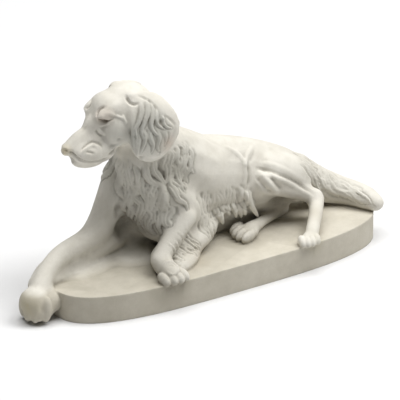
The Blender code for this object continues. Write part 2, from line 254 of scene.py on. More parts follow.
ears = []
for side in (-1, 1):
    ears += flap(side)
    ears += lump((-88, HEAD_MIDDLE + side * 14, 174.5), (7, 6, 5.5))


# The far foreleg reaches out and drops its paw over the plinth's end, and the near one is
# folded under the chest with its paw turned to the viewer. The ground rises between them.
PAW_DROP = PLINTH_HEIGHT / UNIT
paw_middle = -PAW_DROP * 0.38
forelegs = limb([(-70, 25, 86, 21), (-81, 25, 72, 20), (-93, 25, 53, 16.5), (-104, 24, 36, 14.5),
                 (-122, 20, 24, 12.5), (-155, 14, 19, 10.5), (-176, 5, 12, 9.5), (-190, -4, 2, 10)])
forelegs += lump((-200, -11, paw_middle + 3), (15, 15, 14))
forelegs += lump((-198, -14, paw_middle - 5), (15, 14, 11))
forelegs += lump((-184, -11, paw_middle), (12, 13, 12))
forelegs += limb([(-92, 24, 18, 13), (-124, 17, 10, 9), (-150, 10, 5, 6.5), (-172, 2, 2, 7)])
forelegs += lump((-122, 9, -6), (48, 20, 10), (-1, -0.28, 0))
forelegs += lump((-76, 10, -14), (42, 34, 21))
forelegs += limb([(-150, 18, 14, 10), (-172, 13, 6, 11), (-188, 4, 0, 10)])
forelegs += limb([(-38, -22, 43, 10), (-58, -27, 27, 9.5), (-78, -36, 13, 8.5)])
forelegs += lump((-44, -30, 3), (27, 12, 10), (-0.8, -0.6, -0.1))
forelegs += limb([(-50, -6, 66, 20), (-30, -7, 46, 17), (-18, -6, 32, 13)])
forelegs += limb([(-20, -5, 33, 12), (-46, -15, 23, 9), (-70, -25, 12, 8.5)])
forelegs += limb([(-72, -26, 11, 8.5), (-76, -42, 9, 10), (-76, -56, 6, 9)])
forelegs += limb([(0, 2, 20, 13), (-12, -10, 15, 12), (-30, -20, 12, 11), (-52, -28, 7, 8)])


# The hind legs: the near knee is raised and its foot stands at the plinth's edge,
# and the far foot comes out flat from under the belly.
hind_legs = lump((86, 0, 49), (36, 20, 22), (1, 0, -0.45))
hind_legs += limb([(86, -4, 46, 16), (70, -7, 53, 14), (58, -8, 52, 11)])
hind_legs += limb([(60, -8, 50, 12), (83, -11, 39, 9.5), (114, -18, 25, 8)])
hind_legs += limb([(115, -19, 22, 8), (102, -36, 15, 7.2), (86, -54, 8, 7)])
hind_legs += lump((80, -59, 5), (9, 8, 6))
hind_legs += limb([(96, 12, 5, 7), (66, -2, 6, 5.5), (48, -10, 6, 7), (42, -13, 6, 8)])
hind_legs += lump((38, -15, 5), (11, 10, 7))


# The tail is a heavy brush that comes off the rump and curls to the near side.
# It lies along the plinth's top and ends in a blunt tip just past the plinth's end.
tail = limb([(112, 14, 38, 20), (132, 12, 24, 18), (148, 9, 15.5, 16.5), (160, 1, 11.5, 14.5),
             (168, -11, 10.5, 13), (173, -24, 9.5, 11.5), (175, -34, 8.5, 8.5)])


# The flesh is all these masses run into one skin, with the hollows between them filled
# and softened the way a thumb does it. The coat is laid on it afterwards.
FLESH_VOXEL = 2.0
FLESH_FILLING = 14              # passes
FLESH_SOFTENING = 4
FILLING_PACE = 0.6              # the share of a hollow that one pass fills
SOFTENING_PACE = 0.5            # the share of the way to the neighbours that one pass goes


def fused(pieces, name, voxel):
    """One skin over all the pieces."""
    bpy.ops.object.select_all(action='DESELECT')
    for piece in pieces:
        piece.select_set(True)
    bpy.context.view_layer.objects.active = pieces[0]
    bpy.ops.object.join()
    body = bpy.context.object
    skin = body.modifiers.new("skin", 'REMESH')
    skin.mode = 'VOXEL'
    skin.voxel_size = voxel
    return new_object(frozen(body), name)


def vertex_rows(body, kind):
    """The places or normals of the vertices, one row each."""
    rows = np.empty(len(body.data.vertices) * 3, np.float32)
    body.data.vertices.foreach_get(kind, rows)
    return rows.reshape(-1, 3).astype(float)


def place_vertices(body, places):
    body.data.vertices.foreach_set("co", places.astype(np.float32).ravel())
    body.data.update()


def edge_rows(body):
    edges = np.empty(len(body.data.edges) * 2, np.int32)
    body.data.edges.foreach_get("vertices", edges)
    return edges.reshape(-1, 2)


def pull_toward_neighbours(values, edges):
    """How far each vertex's values lie from the mean of its neighbours."""
    count = len(values)
    degree = np.maximum(np.bincount(edges.ravel(), minlength=count), 1)
    pull = np.empty_like(values)
    for axis in range(values.shape[1]):
        ahead = np.bincount(edges[:, 0], values[edges[:, 1], axis], count)
        behind = np.bincount(edges[:, 1], values[edges[:, 0], axis], count)
        pull[:, axis] = (ahead + behind) / degree
    return pull - values


def hollows_filled(body, times):
    """Raise the skin only where it is hollow."""
    edges = edge_rows(body)
    for step in range(times):
        places = vertex_rows(body, "co")
        outward = vertex_rows(body, "normal")
        rise = np.maximum((pull_toward_neighbours(places, edges) * outward).sum(axis=1), 0)
        place_vertices(body, places + FILLING_PACE * rise[:, None] * outward)


def softened(body, times):
    """Draw every vertex toward its neighbours."""
    edges = edge_rows(body)
    places = vertex_rows(body, "co")
    for step in range(times):
        places += SOFTENING_PACE * pull_toward_neighbours(places, edges)
    place_vertices(body, places)


flesh = fused(trunk + neck + head + ears + forelegs + hind_legs + tail, "flesh", FLESH_VOXEL)
hollows_filled(flesh, FLESH_FILLING)
softened(flesh, FLESH_SOFTENING)
skin = BVHTree.FromObject(flesh, bpy.context.evaluated_depsgraph_get())


# The toes are pressed on as small rolls of clay, four to a paw, with open clefts between them.
# They join the dog after its hollows are filled, so that the clefts stay sharp.
TOE_SHARES = (0, 0.34, 0.67, 1)


def toes(first, last, bulge, half, aim):
    """Toes from the first to the last place, in an arc that bulges forward."""
    clay = []
    for share in TOE_SHARES:
        place = Vector(first).lerp(Vector(last), share)
        place += Vector(bulge) * math.sin(math.pi * (0.15 + 0.7 * share))
        clay += lump(place, half, aim, segments=20)
    return clay


toe_drop = PAW_DROP * 0.44
hanging_toe = (PAW_DROP * 0.48, 6.6, 5.4)
paws = toes((-201, 1, -toe_drop), (-190, -20, -toe_drop), (-11.5, -7, 0), hanging_toe, (-0.1, 0, -1))
paws += toes((-86, -56, 4), (-66, -58, 5), (0, -4, 0), (9, 4.6, 5.5), (0.1, -1, -0.25))
paws += toes((71, -59, 4), (86, -61, 4), (-2, -3, 0), (8, 4.2, 5.5), (-0.3, -1, -0.2))
paws += toes((34, -4, 6), (34, -25, 5), (-5, 0, 0), (10, 4.2, 6), (-1, -0.3, -0.15))


# The coat hangs free in ragged tufts under the belly and the flank.
# Each is a tapering tube of clay, set into the flesh at its root.
TUFT_STEPS = 8                  # stations from root to middle, and again to the tip
BELLY_TUFTS = 26
BELLY_START = -22               # units along the dog
BELLY_STEP = 2.7


def tuft(root, tip, sway, radius):
    """A tuft's stations, thin at the root and pointed at the tip."""
    middle = Vector(root).lerp(Vector(tip), 0.5) + Vector(sway)
    run = []
    for index, row in enumerate(through([root, middle, tip], TUFT_STEPS)):
        t = index / (2 * TUFT_STEPS)
        run.append((*row, radius * min(1, 0.15 + 2.2 * t) * (1.01 - t) ** 0.4))
    return run


chance = random.Random(11)
fringe = []
for index in range(BELLY_TUFTS):
    x = BELLY_START + BELLY_STEP * index + chance.uniform(-1.2, 1.2)
    lean = chance.uniform(3, 10)
    length = chance.uniform(8, 21)
    radius = chance.uniform(3.0, 4.4)
    depth = chance.uniform(-7, -1)
    fringe.append(tuft((x, 0, 46), (x + lean, depth, 36 - length), (-2, -5, -3), radius))
fringe.append(tuft((40, -4, 66), (54, -8, 14), (-5, -4, -4), 4.8))
fringe.append(tuft((38, -4, 58), (46, -9, 24), (-3, -4, 0), 4.6))
fringe.append(tuft((50, -6, 56), (62, -12, 40), (-2, -3, -2), 4.4))


# The casting is the dog and the plinth in one skin of plaster, without a seam between them.
# The fringe and the toes are joined to it here, and it is fine enough to carry the coat.
CAST_VOXEL = 0.8

casting = fused([flesh, slab] + tubes(fringe, 2) + paws, "cast_dog", CAST_VOXEL)
softened(casting, 1)
casting.data.attributes.new("coat", 'FLOAT', 'POINT')


# The coat is carved into the skin as locks: each swells below its root, shows a few strands
# and runs out into a point, with a cut between it and the next one.
LOCK_STEPS = 21
LOCK_SWING = 2.4 * math.pi      # how far along a wave a lock goes from root to tip
LOCK_ROOT = 0.45                # the root's width as a share of the lock's
LOCK_CREST = 0.4                # where the lock is highest, as a share of its length
STRAND_DEPTH = 0.45             # the partings between strands, as a share of its height
LOCK_CUT = 1.0                  # how deep the skin is cut beside a lock
CUT_COVER = 1.2                 # the height of hair that hides the cut


def lock(path, width, height, strands=2, wave=0, phase=0):
    """A lock's width, height, strands and stations: place, way out of the skin, way across."""
    rows = through(path, math.ceil(LOCK_STEPS / (len(path) - 1)))
    last = len(rows) - 1
    stations = []
    for index, row in enumerate(rows):
        place, outward = skin.find_nearest(Vector(row))[:2]
        ahead = Vector(rows[min(index + 1, last)] - rows[max(index - 1, 0)])
        aside = outward.cross(ahead).normalized()
        place = place + aside * wave * math.sin(LOCK_SWING * index / last + phase)
        place, outward = skin.find_nearest(place)[:2]
        stations.append((*place, *outward, *aside))
    return width, height, strands, np.array(stations)


def locks(corners, rows, columns, length, width, height, wave, seed):
    """Staggered locks over a patch: corners are root left and right, tip left and right."""
    chance = random.Random(seed)
    root_left, root_right, tip_left, tip_right = [Vector(corner) for corner in corners]

    def place(across, down):
        root = root_left.lerp(root_right, across)
        tip = tip_left.lerp(tip_right, across)
        return root.lerp(tip, down)

    laid = []
    for row in range(rows):
        for column in range(columns):
            across = (column + 0.5 * (row % 2) + chance.uniform(0.1, 0.6)) / (columns + 0.5)
            start = row / rows * (1 - length) + chance.uniform(-0.05, 0.05)
            drift = chance.uniform(-0.10, 0.10)
            reach = length * chance.uniform(0.8, 1.15)
            path = [place(across + drift * t, start + reach * t) for t in (0, 0.5, 1)]
            strands = chance.choice((1, 2, 2, 3))
            phase = chance.uniform(-0.9, 0.9)
            laid.append(lock(path, width * chance.uniform(0.75, 1.3),
                             height * chance.uniform(0.7, 1.2), strands, wave, phase))
    return laid


def near_line(body, line, reach):
    """The vertices close to a line of points, with each one's nearest point and way from it."""
    places = vertex_rows(body, "co")
    inside = ((places > line.min(axis=0) - reach) & (places < line.max(axis=0) + reach)).all(axis=1)
    found = np.flatnonzero(inside)
    away = places[found][:, None] - line
    nearest = (away ** 2).sum(axis=2).argmin(axis=1)
    return found, nearest, away[np.arange(len(found)), nearest]


def combed(body, laid, share):
    """Raise the locks along the skin, the highest one winning, and cut the skin between them.

    The share is how strong this part of the coat's painted shade is, laid in the cuts between locks.
    """
    outward = vertex_rows(body, "normal")
    rise = np.zeros(len(outward))
    cut = np.zeros(len(outward))
    for width, height, strands, stations in laid:
        line, facing, aside = stations[:, :3], stations[:, 3:6], stations[:, 6:]
        found, nearest, away = near_line(body, line, width + 1)
        ahead = np.cross(aside[nearest], facing[nearest])
        step = np.linalg.norm(line[1:] - line[:-1], axis=1).mean()
        t = (nearest + (away * ahead).sum(axis=1) / step) / (len(line) - 1)
        inside = np.clip(t, 0, 1)
        fullness = np.minimum(1, LOCK_ROOT + 2.2 * inside) * (1 - inside) ** 0.55 + 0.02
        u = (away * aside[nearest]).sum(axis=1) / (width * fullness)
        flat = (outward[found] * facing[nearest]).sum(axis=1)
        close = np.abs((away * facing[nearest]).sum(axis=1)) < 1.5 * width + 2
        held = (t > 0) & (t < 1) & (flat > 0.15) & close
        crown = np.clip(1 - u ** 2, 0, 1) ** 0.75
        swell = np.minimum(1, inside / LOCK_CREST) ** 0.7 * (1 - inside) ** 0.4
        parting = 0.5 + 0.5 * np.cos(math.pi * strands * (u + 1))
        lift = height * swell * crown * (1 - STRAND_DEPTH * parting)
        rise[found] = np.maximum(rise[found], np.where(held, lift, 0))
        reach = np.clip(2 - np.abs(u), 0, 1) * np.minimum(1, inside / 0.2)
        cut[found] = np.maximum(cut[found], np.where(held, reach, 0))
    painted_shade = np.empty(len(outward), np.float32)
    body.data.attributes["coat"].data.foreach_get("value", painted_shade)
    # The cuts between locks take painted shade, as strong as the share.
    painted_shade = np.maximum(painted_shade, share * np.minimum(1, 2 * cut))
    body.data.attributes["coat"].data.foreach_set("value", painted_shade.astype(np.float32))
    push = rise - LOCK_CUT * cut * np.clip(1 - rise / CUT_COVER, 0, 1)
    place_vertices(body, vertex_rows(body, "co") + push[:, None] * outward)


def far_side(corners, middle):
    """The same places on the dog's far side."""
    return [(x, 2 * middle - y, z) for x, y, z in corners]


# Both ears are smooth at the top of the flap, and S-shaped locks fall from there to the hem.
# Each lock has its path, width and height; the far ear has the same ones.
# The ears get the strongest painted shade between their locks.
EAR_SHADE = 1.0
EAR_STRANDS = 3
ear_locks = [
    ([(-84, -14, 172), (-86, -21, 165), (-91, -24, 156), (-96, -25, 148), (-94, -26, 136)],
     3.6, 2.4),
    ([(-77, -14, 173), (-80, -22, 164), (-86, -26, 155), (-90, -27, 146), (-88, -28, 134)],
     3.8, 2.8),
    ([(-72, -17, 170), (-77, -26, 159), (-80, -28, 150), (-77, -28, 143), (-71, -29, 137)],
     3.4, 2.8),
    ([(-68, -21, 166), (-73, -27, 156), (-72, -28, 149), (-64, -28, 142)], 3.0, 2.6),
    ([(-64, -24, 161), (-66, -27, 151), (-63, -27, 145), (-55, -27, 141)], 2.8, 2.2),
    ([(-90, -26, 150), (-87, -28, 141), (-89, -28, 132), (-93, -27, 123)], 3.6, 1.9),
    ([(-82, -28, 148), (-82, -29, 139), (-79, -29, 130), (-81, -28, 121)], 3.8, 2.0),
    ([(-74, -28, 144), (-72, -29, 136), (-74, -29, 128), (-71, -28, 120)], 3.6, 1.8),
    ([(-65, -28, 141), (-64, -28, 134), (-66, -28, 125)], 3.2, 1.3),
    ([(-99, -22, 152), (-101, -23, 143), (-99, -24, 134), (-96, -26, 124)], 3.2, 1.5),
]
hair = []
for path, width, height in ear_locks:
    hair.append(lock(path, width, height, EAR_STRANDS))
    hair.append(lock(far_side(path, HEAD_MIDDLE), width, height, EAR_STRANDS))
combed(casting, hair, EAR_SHADE)


# The ruff hangs down the neck on both sides in ragged tiers, over the long locks of the chest.
# The largest locks lie over the tiers one by one, at the throat and under the ear.
NECK_MIDDLE = 10
# The ruff and chest get strong painted shade between their locks.
RUFF_SHADE = 0.8
hair = []
ruff_patch = [(-62, -16, 112), (-24, -8, 118), (-48, -22, 62), (-26, -18, 68)]
chest_patch = [(-95, 10, 100), (-60, -16, 84), (-84, 6, 14), (-46, -26, 20)]
throat_patch = [(-92, 12, 108), (-90, -6, 110), (-94, 16, 60), (-86, -10, 62)]
for corners in (ruff_patch, far_side(ruff_patch, NECK_MIDDLE)):
    hair += locks(corners, 3, 5, 0.52, 4.8, 2.4, 2.2, seed=2)
hair += locks(chest_patch, 4, 5, 0.46, 6.0, 3.2, 2.8, seed=3)
hair += locks(throat_patch, 2, 4, 0.62, 4.6, 2.4, 2.0, seed=12)
breast_locks = [
    ([(-93, -1, 110), (-91, -4, 95), (-89, -5, 81), (-83, -8, 66)], 4.4, 3.4),
    ([(-88, -9, 104), (-86, -12, 95), (-84, -9, 85), (-82, -12, 74)], 3.9, 3.2),
    ([(-81, -13, 92), (-82, -12, 79), (-79, -13, 69), (-72, -16, 58)], 4.7, 3.2),
    ([(-78, -13, 82), (-74, -15, 72), (-66, -19, 58)], 4.4, 3.0),
    ([(-78, -14, 106), (-77, -16, 94), (-71, -17, 84), (-62, -18, 79)], 5.5, 3.2),
    ([(-68, -14, 106), (-66, -15, 95), (-61, -17, 85), (-58, -18, 80)], 5.2, 3.2),
    ([(-57, -15, 105), (-54, -16, 95), (-55, -17, 87), (-60, -18, 80)], 5.5, 3.2),
    ([(-46, -18, 100), (-45, -18, 90), (-42, -20, 80), (-35, -20, 70)], 4.4, 3.4),
    ([(-38, -16, 102), (-37, -18, 90), (-34, -19, 80)], 3.4, 2.4),
    ([(-57, -20, 84), (-53, -23, 75), (-49, -25, 66), (-40, -25, 58), (-39, -24, 48)], 4.2, 3.2),
    ([(-66, -18, 76), (-61, -21, 66), (-57, -23, 56)], 4.2, 2.8),
]
for path, width, height in breast_locks:
    hair.append(lock(path, width, height))
    hair.append(lock(far_side(path, NECK_MIDDLE), width, height))
combed(casting, hair, RUFF_SHADE)


# The belly carries a loose fringe on both sides, and the near foreleg is feathered to the elbow.
# Rump and tail are brushed back in long curls, with a few heavier ones laid over them.
TAIL_MIDDLE = 14
# The body gets only a little painted shade between its locks.
BODY_SHADE = 0.25
hair = []
belly_patch = [(-22, -14, 60), (34, -12, 54), (-18, -13, 20), (48, -10, 22)]
rump_patch = [(100, -14, 62), (104, 10, 66), (134, -6, 12), (140, 14, 32)]
tail_patch = [(128, -4, 28), (132, 20, 38), (168, -46, 4), (186, -36, 8)]
feather_patch = [(-44, -25, 38), (-74, -35, 17), (-24, -28, 3), (-62, -50, 5)]
elbow_patch = [(-22, -16, 40), (0, -10, 34), (-14, -26, 6), (4, -14, 4)]
for corners in (belly_patch, far_side(belly_patch, TRUNK_MIDDLE)):
    hair += locks(corners, 2, 9, 0.74, 4.6, 1.4, 1.2, seed=4)
hair += locks(rump_patch, 2, 5, 0.62, 3.6, 1.3, 1.8, seed=7)
hair += locks(far_side(rump_patch, TAIL_MIDDLE), 2, 5, 0.62, 3.6, 1.3, 1.8, seed=13)
hair += locks(tail_patch, 3, 5, 0.50, 4.2, 1.6, 2.0, seed=8)
hair += locks(feather_patch, 2, 7, 0.70, 3.2, 1.7, 0.9, seed=9)
hair += locks(elbow_patch, 2, 3, 0.66, 4.2, 1.7, 1.2, seed=14)
tail_locks = [
    ([(98, -13, 64), (112, -10, 50), (122, -5, 38), (126, -5, 26), (137, -4, 10)], 2.6, 1.8),
    ([(108, -4, 64), (122, -2, 48), (131, -5, 32), (140, -6, 16)], 2.6, 1.6),
    ([(141, -4, 30), (150, -11, 19), (155, -16, 11), (162, -24, 6)], 2.4, 1.6),
    ([(158, -14, 24), (163, -22, 18), (170, -30, 12), (172, -38, 8)], 2.4, 1.6),
]
for path, width, height in tail_locks:
    hair.append(lock(path, width, height))
combed(casting, hair, BODY_SHADE)


# The face is pressed and scored into the soft skin with the finger and the tool: eyes, lids,
# brows, nostrils, mouth and flews, and the hems of the ears. A depth below zero raises the skin.
def pressed(body, centre, half, depth):
    """Press a soft oval hollow into the skin."""
    places = vertex_rows(body, "co")
    outward = vertex_rows(body, "normal")
    reach = np.linalg.norm((places - centre) / half, axis=1)
    push = depth * np.clip(1 - reach ** 2, 0, 1) ** 2
    place_vertices(body, places - push[:, None] * outward)


def scored(body, path, width, depth):
    """Draw a soft groove along a path close to the skin, shallower at its ends."""
    places = vertex_rows(body, "co")
    outward = vertex_rows(body, "normal")
    line = through(path, 10)
    found, nearest, away = near_line(body, line, width)
    t = nearest / (len(line) - 1)
    fade = np.minimum(1, 5 * np.minimum(t, 1 - t) + 0.3)
    push = depth * fade * np.clip(1 - (away ** 2).sum(axis=1) / width ** 2, 0, 1) ** 1.5
    places[found] -= push[:, None] * outward[found]
    place_vertices(body, places)


face_presses = [
    ((-121, -5, 157), (7, 7, 4.5), 2.8),
    ((-114, -8.5, 164), (6, 5, 3.5), -1.0),
    ((-107, -13, 138), (4, 4, 3), 1.4),
    ((-133, -8, 128), (8, 6, 7), -1.0),
    ((-92, -26, 120), (5, 5, 3.5), 2.0),
    ((-156, 4, 131.5), (3, 3, 2.5), 1.8),
    ((-68, -27, 151), (5, 5, 4), 1.2),
]
for centre, half, depth in face_presses:
    pressed(casting, centre, half, depth)
    pressed(casting, far_side([centre], HEAD_MIDDLE)[0], half, depth)


# Deep hollows between the forelegs and under the near hind leg are pressed in with the thumb.
# The near forepaw shows its sole, with a raised pad and a groove behind it.
deep_hollows = [
    ((-86, 10, 30), (14, 14, 17), 7),
    ((-96, 8, 52), (5, 7, 11), 3),
    ((84, -2, 22), (20, 10, 13), 5),
]
paw_marks = [
    ([(-82, -50, 14), (-76, -50, 17), (-70, -52, 13), (-72, -60, 11), (-79, -62, 9), (-82, -57, 11)],
     2.2, -1.4),
    ([(-79, -54, 14), (-75, -55, 14), (-75, -58, 12)], 1.8, 1.6),
    ([(-84, -30, 3), (-90, -46, 3), (-86, -60, 1)], 2.0, 1.0),
]
for centre, half, depth in deep_hollows:
    pressed(casting, centre, half, depth)
for path, width, depth in paw_marks:
    scored(casting, path, width, depth)


# The lines of the face run on both sides of it: over and under the eye, down the cheek,
# round the flew and along the mouth, then from the root of the ear down its front and its hem.
face_scores = [
    ([(-125, -2, 161), (-121, 0, 165.5), (-116, -3, 169)], 2.4, 1.8),
    ([(-125, -4, 159), (-121, -5.5, 157.5), (-117, -7, 156), (-112, -9, 157)], 2.0, 2.4),
    ([(-113, -10, 163), (-106, -12, 160), (-102, -13, 157)], 2.0, -1.2),
    ([(-123, -4, 151), (-117, -7, 153), (-110, -10.5, 157)], 1.8, -1.2),
    ([(-124, -3, 149), (-122, -4, 146), (-118, -5.5, 142)], 2.0, -1.2),
    ([(-126, -2, 147), (-124, -3.5, 143.5), (-120, -5, 140)], 2.0, 1.3),
    ([(-115, -9, 126), (-109, -8.5, 129), (-103, -12, 134)], 2.2, -1.4),
    ([(-116, -9, 122), (-108, -8, 125.5)], 2.2, 1.4),
    ([(-139, -7, 130.5), (-132, -9.5, 127.5)], 1.8, 1.4),
    ([(-144, -4.5, 130), (-139, -4, 134.5), (-131, -3.5, 137), (-123, -6, 133), (-123, -9, 123)],
     2.0, 1.2),
    ([(-143, -4.5, 130), (-139, -4.5, 132), (-131, -4.5, 134), (-126, -7, 131)], 2.0, -1.0),
    ([(-155, 3.7, 131), (-151, 1.5, 129.5), (-147, -3, 125), (-143, -5.5, 121),
      (-135, -6, 117.5), (-128, -7.5, 117), (-120, -9, 118), (-113, -8.5, 118.5)], 2.2, 2.2),
    ([(-102.5, -12, 161), (-100.5, -16, 153)], 2.0, -1.0),
    ([(-95, -6, 176), (-95, -11, 172.5), (-92, -14.5, 170), (-87, -15, 170)], 2.2, 1.8),
    ([(-84, -11, 176), (-74, -18, 169.5), (-68, -25, 160), (-60, -26, 153), (-53, -26, 144)],
     2.2, 1.2),
    ([(-50, -25, 147), (-53, -27, 135), (-61, -27, 123), (-71, -27, 116), (-86, -27, 116)],
     3.2, -1.3),
]
for path, width, depth in face_scores:
    scored(casting, path, width, depth)
    scored(casting, far_side(path, HEAD_MIDDLE), width, depth)
nose_ridge = [(-121, HEAD_MIDDLE, 160), (-132, HEAD_MIDDLE, 150), (-146, HEAD_MIDDLE, 139)]
scored(casting, nose_ridge, 3, -0.8)


# Grooves run along the near shin and the front of the thigh, where the hair parts over them.
# The skin of the flank gathers in a three-armed fold on both sides, with a hollow along it.
thigh_marks = [
    ([(53, -8, 66), (62, -13, 63), (72, -18, 58), (92, -19, 45), (108, -23, 31)], 3.0, 2.0),
    ([(56, -5, 71), (66, -11, 68), (78, -16, 61), (96, -16, 48), (112, -11, 36)], 4.0, -1.0),
    ([(54, -13.5, 62), (67, -19.5, 57), (85, -20, 45), (102, -23, 32)], 3.0, -1.0),
    ([(54, -11, 62), (59, -19, 53), (70, -17, 38)], 3.6, -1.8),
    ([(50, -11, 58), (54, -17, 50), (62, -18, 40)], 3.0, 1.8),
    ([(60, -15, 62), (66, -20, 52), (74, -18, 42)], 2.4, 1.2),
]
flank_folds = [
    ([(22, 5, 93), (33, 0, 85), (39, -5, 76), (39, -8, 71)], 3.4, -1.1),
    ([(58, 7, 83), (48, 0, 80), (41, -5, 75), (39, -8, 71)], 3.4, -1.1),
    ([(39, -7, 73), (38, -10, 61), (35, -11, 52), (32, -11, 40)], 3.6, -1.4),
    ([(43, -7, 71), (42, -10, 61), (40, -11, 52)], 3.2, 1.2),
    ([(26, 4, 86), (34, -2, 77)], 3.2, 0.8),
    ([(54, 2, 77), (46, -4, 73)], 3.2, 0.8),
]
for path, width, depth in thigh_marks:
    scored(casting, path, width, depth)
for path, width, depth in flank_folds:
    scored(casting, path, width, depth)
    scored(casting, far_side(path, TRUNK_MIDDLE), width, depth)
softened(casting, 1)


# The finished cast is one closed shell, thinned where it is smooth and set down on its flat
# underside. Here the dog's own measure becomes metres, from the middle of the underside.
CAST_TRIANGLES = 194000
FRONT_REACH = 180               # units from the dog's zero to the front end of the plinth
NEAR_REACH = 65                 # units from the dog's zero to the near edge of the plinth
UNDERSIDE_PLAY = 0.0004         # metres; anything lower is pressed flat
FLAT_WEIGHT = 60                # how far the large faces rule the shading


def largest_shell(body):
    """Drop the small closed pockets that are left inside."""
    edges = edge_rows(body)
    shell = np.arange(len(body.data.vertices))
    while True:
        lower = shell.copy()
        np.minimum.at(lower, edges[:, 0], shell[edges[:, 1]])
        np.minimum.at(lower, edges[:, 1], shell[edges[:, 0]])
        lower = lower[lower]
        if np.array_equal(lower, shell):
            break
        shell = lower
    names, sizes = np.unique(shell, return_counts=True)
    keep = shell == names[np.argmax(sizes)]
    if keep.all():
        return
    shape = bmesh.new()
    shape.from_mesh(body.data)
    loose = [vertex for vertex in shape.verts if not keep[vertex.index]]
    bmesh.ops.delete(shape, geom=loose, context='VERTS')
    shape.to_mesh(body.data)
    shape.free()


def thinned(body, triangles):
    """The same body with about so many triangles."""
    tris = sum(len(face.vertices) - 2 for face in body.data.polygons)
    name = body.name
    fewer = body.modifiers.new("fewer", 'DECIMATE')
    fewer.ratio = min(1, triangles / tris)
    return new_object(frozen(body), name)


largest_shell(casting)
casting = thinned(casting, CAST_TRIANGLES)
dog_zero = Vector((FRONT_REACH * UNIT - PLINTH_LENGTH / 2,
                   NEAR_REACH * UNIT - PLINTH_WIDTH / 2, PLINTH_HEIGHT))
casting.data.transform(Matrix.Translation(dog_zero) @ Matrix.Scale(UNIT, 4))
places = vertex_rows(casting, "co")
places[:, 2] = np.where(places[:, 2] < UNDERSIDE_PLAY, 0, places[:, 2])
place_vertices(casting, places)
casting.data.shade_smooth()
flatter = casting.modifiers.new("flatter", 'WEIGHTED_NORMAL')
flatter.weight = FLAT_WEIGHT
casting = new_object(frozen(casting), "cast_dog")


# Dirt and painted shade darken the skin where it is hollow, and painted shade greys the coat between
# its locks.
# Both are kept as marks on the skin, softened over its neighbours, for the plaster to read.
BEND_SOFTENING = 3              # passes
BEND_PACE = 0.6
BEND_GAIN = 2.2
COAT_SHADE_SOFTENING = 30
COAT_SHADE_PACE = 0.8

edges = edge_rows(casting)
places = vertex_rows(casting, "co")
outward = vertex_rows(casting, "normal")
spans = np.linalg.norm(places[edges[:, 0]] - places[edges[:, 1]], axis=1)
bend = (pull_toward_neighbours(places, edges) * outward).sum(axis=1) / spans.mean()
bend = bend[:, None]
for step in range(BEND_SOFTENING):
    bend = bend + BEND_PACE * pull_toward_neighbours(bend, edges)
# The coat's painted shade is spread wide, over whole ears and ruff.
coat = casting.data.attributes["coat"]
coat_shade_values = np.empty(len(places), np.float32)
coat.data.foreach_get("value", coat_shade_values)
coat_shade_values = coat_shade_values[:, None].astype(float)
for step in range(COAT_SHADE_SOFTENING):
    coat_shade_values = coat_shade_values + COAT_SHADE_PACE * pull_toward_neighbours(coat_shade_values, edges)
coat.data.foreach_set("value", coat_shade_values[:, 0].astype(np.float32))
# The hollow mark carries the dirt and painted shade of the creases.
hollow = casting.data.attributes.new("hollow", 'FLOAT', 'POINT')
hollow.data.foreach_set("value", np.clip(0.5 + BEND_GAIN * bend[:, 0], 0, 1).astype(np.float32))


# The plaster is cream and matt, clouded and dusty, and browner on the whole plinth. Painted shade
# greys the ears and ruff and darkens the hollows. Stains and patches of painted shade have a centre,
# a reach and a tint.
CREAM = ((0.68, 0.655, 0.59), (0.75, 0.725, 0.66))
CREAM_CLOUDS = 9                # clouds to a metre, here and below
WHITE = (1, 1, 1)
DUST = (0.82, 0.81, 0.78)
DUST_CLOUDS = 60
DUST_SHARE = 0.55
# Everything lower than a few millimetres over the plinth's top is tinted browner.
PLINTH_TONE = (0.79, 0.77, 0.725)
PLINTH_TONE_FROM = 0.0006           # metres over the plinth's top where the browner tone fades
PLINTH_TONE_TO = 0.004
# Painted shade on the coat, grey between the locks and over the ears and ruff.
PAINTED_COAT_SHADE = (0.76, 0.77, 0.775)
# Dirt and painted shade in the hollows, darkest in the deepest creases.
SHALLOW_DIRT_AND_SHADE = (0.95, 0.945, 0.93)
DEEP_DIRT_AND_SHADE = (0.30, 0.28, 0.25)
SMOOTHEST = (0.72, 0.72, 0.72)
ROUGHEST = (0.92, 0.92, 0.92)
MATT_CLOUDS = 90
SHINE = 0.25
SPECKLES_OF_STAINS_AND_SHADE = 240
GRAINS = 300
GRAIN_STRENGTH = 0.4
GRAIN_DEPTH = 0.0008            # metres
stains_and_shade = [
    ((-156, 4, 131), 9, (0.75, 0.62, 0.30)),
    ((-210, -16, -8), 16, (0.80, 0.74, 0.48)),
    # Painted shade on the near forepaw and the plinth around it.
    ((-82, -60, 2), 28, (0.36, 0.34, 0.29)),
    ((-117, -4, 161), 12, (0.86, 0.72, 0.66)),
    ((-62, -27, 128), 12, (0.90, 0.74, 0.66)),
    # Painted shade on the near hind foot, on the plinth under the belly and on the near hock.
    ((84, -60, 2), 16, (0.72, 0.71, 0.60)),
    ((30, -20, 2), 26, (0.38, 0.36, 0.31)),
    ((98, -38, 14), 22, (0.66, 0.63, 0.55)),
    ((-40, -28, 0), 26, (0.86, 0.80, 0.70)),
    # Painted shade and shadow: between the forelegs, under the chest, under the near hind leg and
    # shin, in the near eye socket, and on the cheek, ear and chest.
    ((-80, 12, 36), 30, (0.22, 0.19, 0.16)),
    ((-70, -8, 34), 20, (0.30, 0.26, 0.22)),
    ((84, 2, 24), 30, (0.24, 0.21, 0.18)),
    ((92, -14, 24), 18, (0.34, 0.31, 0.27)),
    ((-120, -5, 157), 7, (0.40, 0.37, 0.32)),
    ((-102, -14, 142), 26, (0.74, 0.77, 0.78)),
    ((-80, -30, 142), 28, (0.80, 0.82, 0.82)),
    ((-52, -22, 84), 34, (0.76, 0.74, 0.68)),
]
plaster = bpy.data.materials.new("cream_plaster")
